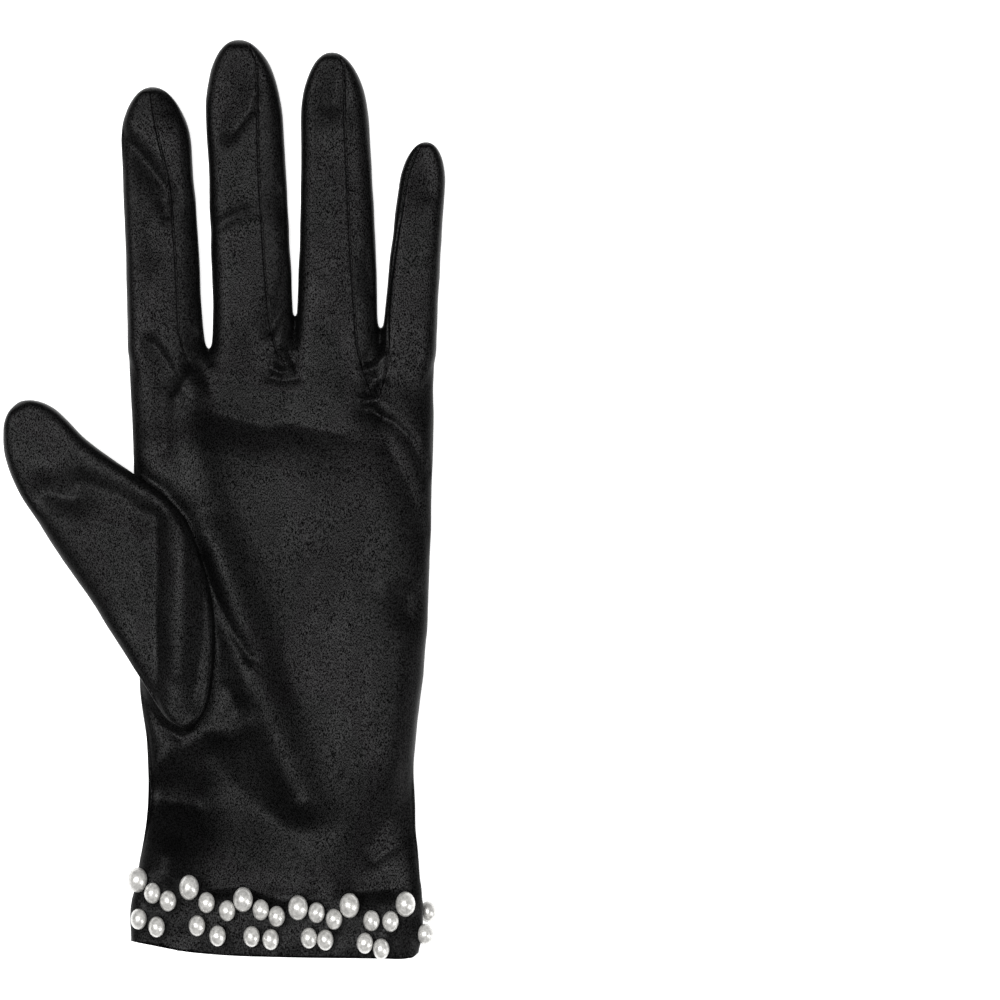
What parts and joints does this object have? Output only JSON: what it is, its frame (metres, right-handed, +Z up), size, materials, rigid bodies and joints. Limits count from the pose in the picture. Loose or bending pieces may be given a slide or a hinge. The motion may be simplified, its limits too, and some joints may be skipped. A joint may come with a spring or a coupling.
{
  "type": "dress glove",
  "caption": "Wrist length dress glove of black stretch satin for the left hand, palm up, with set-in thumb, strips between the fingers and imitation pearls sewn round the cuff.",
  "frame": {"origin": "on the surface that the glove lies on, under the middle of its outline", "axes": "+Z up out of the palm, +Y along the fingers from the cuff to the fingertips, +X to the little finger's side, so the thumb is at -X"},
  "size_m": [0.1106, 0.23, 0.0183],
  "materials": {
    "satin": "black stretch satin, soft sheen",
    "pearl": "imitation pearl, glossy off-white coat"
  },
  "bodies": {
    "root": {"fourchette_index_middle": "satin", "fourchette_middle_ring": "satin", "fourchette_ring_little": "satin", "palm_and_back": "satin", "pearl_back_01": "pearl", "pearl_back_02": "pearl", "pearl_back_03": "pearl", "pearl_back_04": "pearl", "pearl_back_05": "pearl", "pearl_back_06": "pearl", "pearl_back_07": "pearl", "pearl_back_08": "pearl", "pearl_back_09": "pearl", "pearl_back_10": "pearl", "pearl_back_11": "pearl", "pearl_back_12": "pearl", "pearl_back_13": "pearl", "pearl_back_14": "pearl", "pearl_back_15": "pearl", "pearl_back_16": "pearl", "pearl_palm_01": "pearl", "pearl_palm_02": "pearl", "pearl_palm_03": "pearl", "pearl_palm_04": "pearl", "pearl_palm_05": "pearl", "pearl_palm_06": "pearl", "pearl_palm_07": "pearl", "pearl_palm_08": "pearl", "pearl_palm_09": "pearl", "pearl_palm_10": "pearl", "pearl_palm_11": "pearl", "pearl_palm_12": "pearl", "pearl_palm_13": "pearl", "pearl_palm_14": "pearl", "pearl_palm_15": "pearl", "pearl_palm_16": "pearl", "pearl_palm_17": "pearl", "pearl_palm_18": "pearl", "pearl_palm_19": "pearl", "pearl_palm_20": "pearl", "pearl_palm_21": "pearl", "pearl_palm_22": "pearl", "pearl_palm_23": "pearl", "pearl_palm_24": "pearl", "pearl_palm_25": "pearl", "pearl_palm_26": "pearl", "pearl_palm_27": "pearl", "pearl_palm_28": "pearl", "thumb": "satin"}
  },
  "joints": []
}
